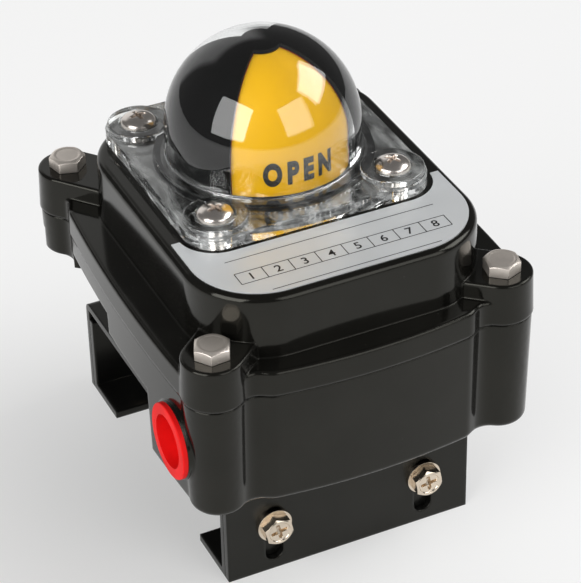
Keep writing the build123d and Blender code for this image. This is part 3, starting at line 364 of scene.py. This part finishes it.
def smoothCopy(node, merge, sharpDegrees=28):
    # merged copy of a CAD node with smooth shading between its sharp edges
    mesh = nodes[node].data.copy()
    mesh.materials.clear()
    work = bmesh.new()
    work.from_mesh(mesh)
    bmesh.ops.remove_doubles(work, verts=work.verts, dist=merge)
    bmesh.ops.dissolve_degenerate(work, edges=work.edges, dist=merge)
    for edge in work.edges:
        edge.smooth = edge.is_manifold and edge.calc_face_angle(0) < math.radians(sharpDegrees)
    for face in work.faces:
        face.smooth = True
    work.to_mesh(mesh)
    work.free()
    if node in underLift:
        liftUnderside(mesh, underLift[node])
    if node == "indicator_shroud":
        pressToDome(mesh)
    if mesh.has_custom_normals:
        mesh.attributes.remove(mesh.attributes["custom_normal"])
    piece = bpy.data.objects.new(node + "_skin", mesh)
    bpy.context.collection.objects.link(piece)
    weighted = piece.modifiers.new("evenNormals", "WEIGHTED_NORMAL")
    weighted.keep_sharp = True
    mesh.materials.append(finishes[slotOf[node]])
    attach(piece, bodyOf[node])
    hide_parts(node)


for name, node in nodes.items():
    if name in smoothed:
        smoothCopy(name, smoothed[name])
    else:
        node.data.materials.clear()
        node.data.materials.append(finishes[slotOf[name]])
print("pieces dressed")


def textMesh(words, bold, spacing=1.0):
    # flat letters one unit high, from x = 0
    data = bpy.data.curves.new("letters", "FONT")
    data.body, data.offset, data.space_character = words, bold, spacing
    holder = bpy.data.objects.new("letters", data)
    bpy.context.collection.objects.link(holder)
    bpy.context.view_layer.update()
    mesh = bpy.data.meshes.new_from_object(holder.evaluated_get(bpy.context.evaluated_depsgraph_get()))
    bpy.data.objects.remove(holder)
    bpy.data.curves.remove(data)
    points = readPoints(mesh)[:, :2]
    points = (points - points.min(axis=0)) / np.ptp(points[:, 1])
    faces = [list(face.vertices) for face in mesh.polygons]
    bpy.data.meshes.remove(mesh)
    return points, faces


def sliced(points, faces, count):
    # cuts flat faces into strips across x, so that they can follow a curved surface
    work = bmesh.new()
    made = [work.verts.new((x, y, 0)) for x, y in points]
    for face in faces:
        work.faces.new([made[i] for i in face])
    for cut in np.linspace(0, points[:, 0].max(), count + 1)[1:-1]:
        everything = work.verts[:] + work.edges[:] + work.faces[:]
        bmesh.ops.bisect_plane(work, geom=everything, plane_co=(cut, 0, 0), plane_no=(1, 0, 0))
    bmesh.ops.triangulate(work, faces=work.faces)
    mesh = bpy.data.meshes.new("sliced")
    work.to_mesh(mesh)
    work.free()
    return mesh


def addPiece(name, mesh, finish, body, smooth=True):
    mesh.name = name
    mesh.materials.append(finish)
    mesh.polygons.foreach_set("use_smooth", [smooth] * len(mesh.polygons))
    piece = bpy.data.objects.new(name, mesh)
    bpy.context.collection.objects.link(piece)
    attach(piece, body)
    return piece


def gridMesh(name, grids, sharpDegrees=32):
    # closed rings of points, grid after grid: each grid is rows x columns x 3 and wraps round its columns
    points, faces, used = [], [], 0
    for grid in grids:
        rows, columns = grid.shape[:2]
        number = np.arange(rows * columns).reshape(rows, columns) + used
        beside = np.roll(number, -1, axis=1)
        quads = np.stack([number[:-1], beside[:-1], beside[1:], number[1:]], axis=-1).reshape(-1, 4)
        points.append(grid.reshape(-1, 3))
        faces.append(quads)
        used += rows * columns
    mesh = bpy.data.meshes.new(name)
    mesh.from_pydata(np.concatenate(points).tolist(), [], np.concatenate(faces).tolist())
    work = bmesh.new()
    work.from_mesh(mesh)
    bmesh.ops.remove_doubles(work, verts=work.verts, dist=1e-7)
    bmesh.ops.recalc_face_normals(work, faces=work.faces)
    for edge in work.edges:
        edge.smooth = edge.is_manifold and edge.calc_face_angle(0) < math.radians(sharpDegrees)
    work.to_mesh(mesh)
    work.free()
    return mesh


heads = {
    "cover_bolts": {
        "flats": 0.010, "height": 0.0040, "topRadius": 0.0044, "slope": 0.577,
        "shank": 0.003, "length": 0.022, "dish": 0.00012, "dishRadius": 0.0037, "crown": 0.0,
        "cross": 0.0, "crossSpan": 0.001, "turns": (-25, -9, 13, 4), "axis": 2, "finish": "stainless",
    },
    "bracket_screws": {
        "flats": 0.0086, "height": 0.0036, "topRadius": 0.0041, "slope": 0.7,
        "shank": 0.0025, "length": 0.012, "dish": 0.00045, "dishRadius": 0.0034, "crown": 0.0,
        "cross": 0.0022, "crossSpan": 0.0025, "turns": (12, 8, -6, 21), "axis": 1, "finish": "nickel",
    },
    "dome_screws": {
        "flats": 0.0, "height": 0.0037, "topRadius": 0.0054, "slope": 0.0,
        "shank": 0.0025, "length": 0.012, "dish": 0.0, "dishRadius": 0.003, "crown": 0.0024,
        "cross": 0.0028, "crossSpan": 0.0023, "turns": (20, 33, 8, 50), "axis": 2,
        "finish": "bright_nickel",
    },
}
recess = {"arm": 0.00056, "taper": 0.0001, "sideSoft": 0.00004, "endSoft": 0.00007, "rise": 0.45}
chamfers = {"tip": 0.8, "tipRise": 0.2, "seat": 0.97, "seatRise": 0.0001}


def softStep(distance, width):
    # logistic curve: 1 well below distance 0, 0 well above it, and steeper for a smaller width
    return 1 / (1 + np.exp(distance / width))


def headGrid(h, turn, columns=144, rows=34, crowding=0.8, closed=1e-7):
    # screw as a surface of two parameters, angle and row, along +Z with the head's seat at z = 0.
    # Rows run from the tip of the shank, over the seat and the side, to the middle of the top.
    # The side is a hexagon, cut back by a cone to the round top, which has a dish and a cross recess.
    angle = np.linspace(0, 2 * np.pi, columns, endpoint=False)
    hexagon = np.full(columns, h["topRadius"])
    if h["flats"]:
        hexagon = h["flats"] / 2 / np.cos((angle - turn + np.pi / 6) % (np.pi / 3) - np.pi / 6)
    shoulder = h["height"] - h["crown"] - np.maximum(hexagon - h["topRadius"], 0) * h["slope"]
    shank, tip = np.full(columns, h["shank"]), -h["length"]
    rings = [
        (np.full(columns, closed), tip), (shank * chamfers["tip"], tip),
        (shank, tip + shank * chamfers["tipRise"]), (shank, 0.0),
        (hexagon * chamfers["seat"], 0.0), (hexagon, chamfers["seatRise"]),
        (hexagon, shoulder * 0.5), (hexagon, shoulder),
    ]
    made = [np.stack([r * np.cos(angle), r * np.sin(angle), 0 * r + z], axis=1) for r, z in rings]
    # round top: crown as an ellipse, soft-edged dish, cross with arms that taper outwards and in depth
    share = np.linspace(1, 0, rows) ** crowding
    r = np.maximum(share * h["topRadius"], closed)[:, None]
    x, y = r * np.cos(angle - turn), r * np.sin(angle - turn)
    z = h["height"] - h["crown"] * (1 - np.sqrt(np.maximum(1 - share**2, 0)))[:, None] + 0 * x
    z -= h["dish"] * softStep(r - h["dishRadius"], recess["endSoft"])
    near, along = np.minimum(abs(x), abs(y)), np.maximum(abs(x), abs(y))
    reach = along / h["crossSpan"]
    inside = softStep(near - recess["arm"] + recess["taper"] * reach, recess["sideSoft"])
    inside *= softStep(along - h["crossSpan"], recess["endSoft"])
    z -= inside * h["cross"] * (1 - recess["rise"] * reach)
    made += list(np.stack([r * np.cos(angle), r * np.sin(angle), z], axis=-1))
    return np.stack(made)


def screwSet(node):
    # one screw in each quarter of the node, at the middle of what the CAD has there
    h = heads[node]
    points = readPoints(nodes[node].data)
    middle = (points.min(axis=0) + points.max(axis=0)) / 2
    axis = h["axis"]
    across = [i for i in range(3) if i != axis]
    split = [0, 1] if axis == 2 else [0, axis]
    placed = []
    for quarter in range(4):
        signs = np.array([1 if quarter & 1 else -1, 1 if quarter & 2 else -1])
        mine = points[np.all((points[:, split] - middle[split]) * signs > 0, axis=1)]
        centre = (mine.min(axis=0) + mine.max(axis=0)) / 2
        out = 1 if axis == 2 else signs[1]
        tip = mine[:, axis].max() if out > 0 else mine[:, axis].min()
        grid = headGrid(h, math.radians(h["turns"][quarter]))
        turned = np.empty_like(grid)
        turned[..., across] = centre[across] + grid[..., :2]
        turned[..., axis] = tip - out * h["height"] + out * grid[..., 2]
        placed.append(turned)
    mesh = gridMesh(node, placed)
    piece = addPiece(node + "_turned", mesh, finishes[h["finish"]], bodyOf[node])
    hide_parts(node)


for node in heads:
    screwSet(node)
print("screws made")

ink = plastic("printBlack", (0.006, 0.006, 0.006), 0.45)
lettering = {
    "words": {"open": ("OPEN", (0, 180)), "shut": ("SHUT", (90, 270))},
    "turn": -1.3, "span": 47.4, "low": 0.0074, "height": 0.0079, "lift": 0.00004,
    "slices": 48, "bold": 0.062, "spacing": 1.5,
}


def drumLetters():
    # words wrapped round the drum: angle from x, height from y, radius from the drum's own profile
    drum = "indicator_open_windows"
    drumLow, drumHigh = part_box(drum)
    radius = (drumHigh[1] - drumLow[1]) / 2
    for key, (words, turns) in lettering["words"].items():
        letters = textMesh(words, lettering["bold"], lettering["spacing"])
        flat = sliced(*letters, lettering["slices"])
        for count, turn in enumerate(turns):
            mesh = flat.copy()
            points = readPoints(mesh)
            along = points[:, 0] / points[:, 0].max() - 0.5
            angle = np.radians(turn + lettering["turn"] + along * lettering["span"])
            z = coverTop + lettering["low"] + points[:, 1] * lettering["height"]
            r = np.sqrt(radius**2 - np.maximum(z - roundFrom, 0) ** 2) + lettering["lift"]
            placed = np.stack([r * np.sin(angle), -r * np.cos(angle), z], axis=1)
            mesh.vertices.foreach_set("co", placed.ravel())
            addPiece(f"{key}_letters_{count + 1}", mesh, ink, bodyOf[drum])


drumLetters()
print("lettering made")

labelPrint = {
    "lift": 0.00003, "rule": 0.00028, "numberHeight": 0.0032, "columns": 8,
    "left": -0.0335, "right": 0.0335, "bold": 0.012,
    "rows": (-0.0455, -0.0520, -0.0575, -0.0635), "reaches": (1.0, 1.0, 1.0, 0.8),
}


def printLabel():
    # ruled table with the numbers of the eight terminals, as thin quads and flat letters over the plate
    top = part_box("label_plate")[1][2] + labelPrint["lift"]
    left, right, wide = labelPrint["left"], labelPrint["right"], labelPrint["rule"] / 2
    rows = labelPrint["rows"]
    quads = []
    for y, reach in zip(rows, labelPrint["reaches"]):
        quads.append((left * reach, right * reach, y - wide, y + wide))
    edges = np.linspace(left, right, labelPrint["columns"] + 1)
    for x in edges:
        quads.append((x - wide, x + wide, rows[2], rows[1]))
    corners = np.array([[(a, c), (b, c), (b, d), (a, d)] for a, b, c, d in quads]).reshape(-1, 2)
    points, faces = [corners], [[4 * i, 4 * i + 1, 4 * i + 2, 4 * i + 3] for i in range(len(quads))]
    used = len(corners)
    for number, x in enumerate((edges[1:] + edges[:-1]) / 2, 1):
        shape, made = textMesh(str(number), labelPrint["bold"])
        middle = shape.max(axis=0) / 2
        points.append((shape - middle) * labelPrint["numberHeight"] + (x, (rows[1] + rows[2]) / 2))
        faces += [[i + used for i in face] for face in made]
        used += len(shape)
    flat = np.concatenate(points)
    mesh = bpy.data.meshes.new("label_print")
    mesh.from_pydata(np.column_stack([flat, np.full(len(flat), top)]).tolist(), [], faces)
    addPiece("label_print", mesh, ink, bodyOf["label_plate"], False)


printLabel()
print("label printed")

# the floor's lift is least at a point by the object's left front and grows over a given distance from it:
# a painted shadow
studio = {
    "floorSize": 6, "floorColour": (0.9, 0.9, 0.891), "floorRoughness": 0.7, "liftTo": 0.97,
    "liftNear": 0.2, "liftFar": 0.56, "liftFrom": (0.0, 0.19), "shade": (-0.055, -0.025, 0),
}


def makeFloor():
    # white paper: plain to the lamps, and lifted towards white where the camera or gloss sees it, but
    # less round a point at the object's left front, which paints a darker shadow there
    half = studio["floorSize"] / 2
    corners = [(-half, -half, 0), (half, -half, 0), (half, half, 0), (-half, half, 0)]
    mesh = bpy.data.meshes.new("floor")
    mesh.from_pydata(corners, [], [(0, 1, 2, 3)])
    floor = bpy.data.objects.new("floor", mesh)
    bpy.context.collection.objects.link(floor)
    mat = Mat("floorWhite", roughness=studio["floorRoughness"], baseColor=studio["floorColour"])
    white = mat.node("ShaderNodeEmission", {}, (1, 1, 1), studio["liftTo"])
    seen = mat.node("ShaderNodeLightPath", {"out": "Is Camera Ray"})
    for ray in ("Is Glossy Ray", "Is Transmission Ray"):
        seen = seen.math("MAXIMUM", mat.node("ShaderNodeLightPath", {"out": ray}))
    # painted shadow: the lift grows with the distance from a point on the floor at the object's left
    # front
    away = mat.node(
        "ShaderNodeVectorMath", {"operation": "DISTANCE", "out": "Value"}, mat.where, studio["shade"]
    )
    lift = seen * (studio["liftNear"] + away.step(*studio["liftFrom"]) * studio["liftFar"])
    mesh.materials.append(mat.finish(mat.mixShader(lift, mat.surface, white)))


lampAim = {"centre": (0, 0, 0.122), "distance": 1.6}
lamps = {
    "lampLeft": {"azimuth": -66, "elevation": 27, "size": (1.2, 1.2), "radiance": 4.7},
    "lampFront": {"azimuth": 21, "elevation": 27, "size": (1.0, 1.0), "radiance": 2.2},
    "lampRight": {"azimuth": 76, "elevation": 38, "size": (1.1, 0.8), "radiance": 4.6},
}


def softbox(name, azimuth, elevation, size, radiance):
    # rectangular lamp seen from the dome at that azimuth and elevation, in degrees
    a, e = math.radians(azimuth), math.radians(elevation)
    out = Vector((math.sin(a) * math.cos(e), -math.cos(a) * math.cos(e), math.sin(e)))
    data = bpy.data.lights.new(name, "AREA")
    data.shape = "RECTANGLE"
    data.size, data.size_y = size
    data.energy = radiance * math.pi * size[0] * size[1]
    lamp = bpy.data.objects.new(name, data)
    bpy.context.collection.objects.link(lamp)
    lamp.location = Vector(lampAim["centre"]) + out * lampAim["distance"]
    lamp.rotation_euler = (-out).to_track_quat("-Z", "Y").to_euler()


makeFloor()
for name, settings in lamps.items():
    softbox(name, **settings)

sky = {
    "seen": 0.9, "top": 0.15, "low": 0.85, "from": 0.52, "to": 0.68,
    "behind": (0.2, 0.6), "beside": (0.25, 0.42),
}


def makeWorld():
    # dark room with a white backdrop that rises behind the object
    world = bpy.data.worlds.new("studio")
    bpy.context.scene.world = world
    world.use_nodes = True
    air = Tree(world.node_tree)
    towards = air.node("ShaderNodeTexCoord", {"out": "Generated"})
    x, y, z = (air.node("ShaderNodeSeparateXYZ", {"out": i}, towards) for i in range(3))
    share = y.step(*sky["behind"]) * (1 - x.math("ABSOLUTE").step(*sky["beside"]))
    low = 1 - z.step(sky["from"], sky["to"])
    level = sky["top"] + share * low * (sky["low"] - sky["top"])
    seen = air.node("ShaderNodeLightPath", {"out": "Is Camera Ray"})
    background = world.node_tree.nodes["Background"]
    air.link((1, 1, 1), background.inputs["Color"])
    air.link(level + seen * (sky["seen"] - level), background.inputs["Strength"])


makeWorld()

shot = {
    "azimuth": -24.617, "elevation": 35.248, "roll": -1.371,
    "target": (0.01123, 0.00762, 0.05167), "distance": 0.80523, "lens": 155.77, "clip": (0.01, 20),
}


def makeCamera():
    # looks at the target from that azimuth and elevation, rolled about its line of sight, in degrees
    a, e, r = (math.radians(shot[k]) for k in ("azimuth", "elevation", "roll"))
    back = Vector((math.sin(a) * math.cos(e), -math.cos(a) * math.cos(e), math.sin(e)))
    right = (-back).cross(Vector((0, 0, 1))).normalized()
    up = right.cross(-back)
    across = right * math.cos(r) + up * math.sin(r)
    upward = -right * math.sin(r) + up * math.cos(r)
    data = bpy.data.cameras.new("camera")
    data.lens, data.sensor_width, data.sensor_fit = shot["lens"], 36, "AUTO"
    camera = bpy.data.objects.new("camera", data)
    bpy.context.collection.objects.link(camera)
    turn = Matrix((across, upward, back)).transposed()
    place = Vector(shot["target"]) + back * shot["distance"]
    camera.matrix_world = Matrix.Translation(place) @ turn.to_4x4()
    data.clip_start, data.clip_end = shot["clip"]
    bpy.context.scene.camera = camera


makeCamera()
bpy.context.scene.view_settings.view_transform = "Standard"

print("scene ready")
